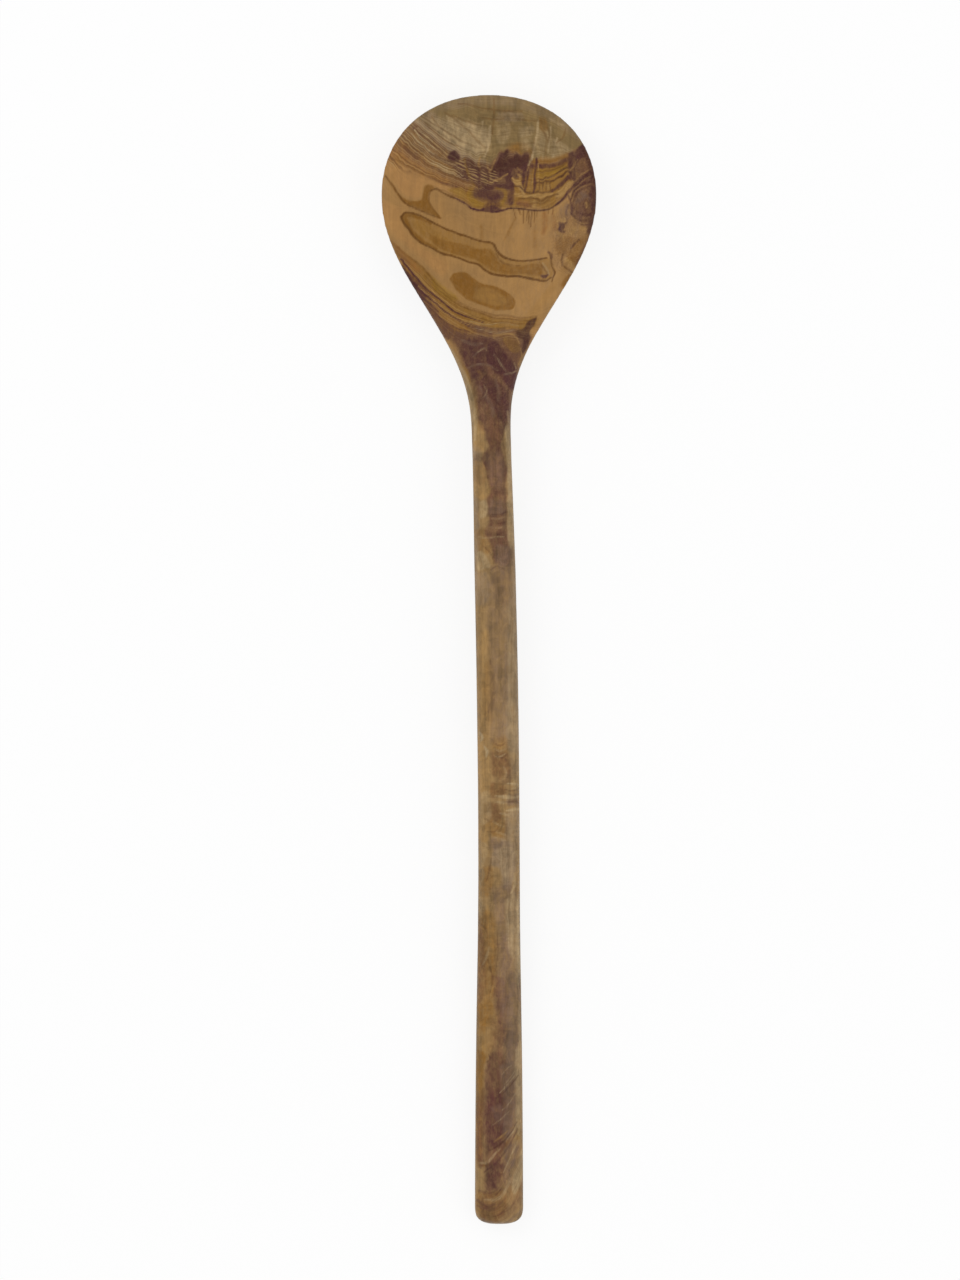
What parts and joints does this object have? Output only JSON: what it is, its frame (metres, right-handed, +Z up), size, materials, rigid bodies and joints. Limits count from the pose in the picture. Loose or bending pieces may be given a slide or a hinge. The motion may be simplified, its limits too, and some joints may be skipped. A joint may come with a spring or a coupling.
{
  "type": "wooden spoon",
  "caption": "Long wooden cooking spoon with an egg-shaped hollow bowl, a narrow neck and a slim oval handle, carved in one piece.",
  "frame": {"origin": "on the table, under the middle of the spoon's length and the middle of its bowl, with the spoon lying on its back", "axes": "+Y along the spoon towards the tip of the bowl, +Z up out of the hollow of the bowl, +X across the bowl"},
  "size_m": [0.0628, 0.33, 0.0147],
  "materials": {
    "olive_wood": "satin oiled olive wood"
  },
  "bodies": {
    "root": {"spoon": "olive_wood"}
  },
  "joints": []
}
